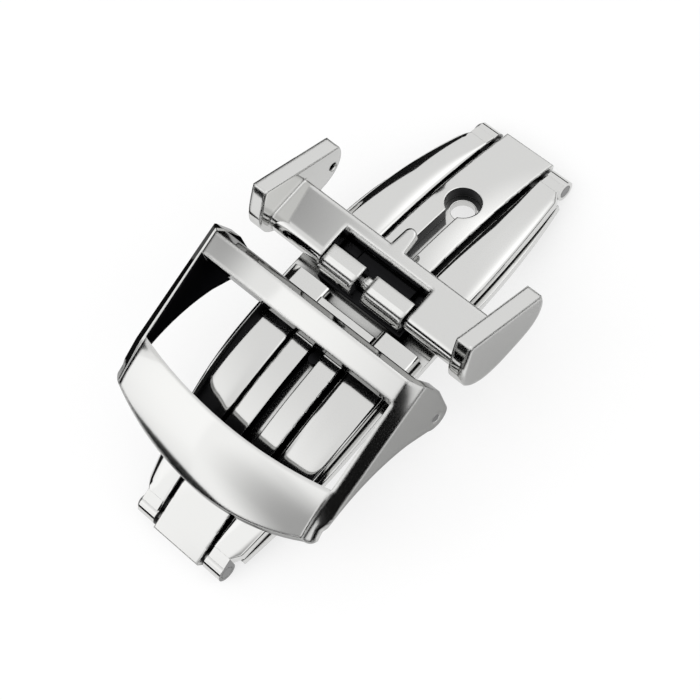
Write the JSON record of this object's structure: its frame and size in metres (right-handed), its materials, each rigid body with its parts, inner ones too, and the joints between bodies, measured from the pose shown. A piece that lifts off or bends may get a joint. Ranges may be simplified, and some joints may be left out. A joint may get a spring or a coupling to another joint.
{
  "type": "butterfly clasp",
  "caption": "Arched double-folding watch strap clasp: two hinged arms over one base, an open buckle frame on one arm and an eared crossbar on the other.",
  "frame": {"origin": "on the surface the closed clasp stands on, under the middle of its length and width", "axes": "+X along the strap towards the crossbar end, +Y across the strap, +Z away from the wrist"},
  "size_m": [0.0396, 0.0212, 0.0122],
  "materials": {
    "polished_steel": "mirror polished",
    "pin_steel": "ground"
  },
  "bodies": {
    "base": {"base_plate": "polished_steel", "far_band": "polished_steel", "near_band": "polished_steel", "far_end_pin": "pin_steel", "near_end_pin": "pin_steel"},
    "far_arm": {"far_left_strip": "polished_steel", "far_right_strip": "polished_steel", "far_bridge": "polished_steel", "far_catch": "pin_steel", "left_barrel": "polished_steel", "middle_collar": "polished_steel", "right_barrel": "polished_steel", "crossbar_pin": "pin_steel"},
    "crossbar": {"crossbar": "polished_steel"},
    "near_arm": {"near_left_strip": "polished_steel", "near_right_strip": "polished_steel", "near_bridge": "polished_steel", "near_catch": "pin_steel", "frame_tube": "polished_steel"},
    "frame": {"frame": "polished_steel", "frame_pin": "pin_steel"}
  },
  "joints": [
    {"name": "near_arm_hinge", "type": "hinge", "parent": "base", "child": "near_arm", "pos_m": [-0.01881, 0, 0.00105], "axis": [0, -1, 0], "range_deg": [0, 140]},
    {"name": "far_arm_hinge", "type": "hinge", "parent": "base", "child": "far_arm", "pos_m": [0.01881, 0, 0.00105], "axis": [0, 1, 0], "range_deg": [0, 140]},
    {"name": "crossbar_hinge", "type": "hinge", "parent": "far_arm", "child": "crossbar", "pos_m": [0.0031, 0, 0.00632], "axis": [0, -1, 0], "range_deg": [0, 32]},
    {"name": "frame_hinge", "type": "hinge", "parent": "near_arm", "child": "frame", "pos_m": [-0.0014, 0, 0.00577], "axis": [0, 1, 0], "range_deg": [0, 20]}
  ]
}
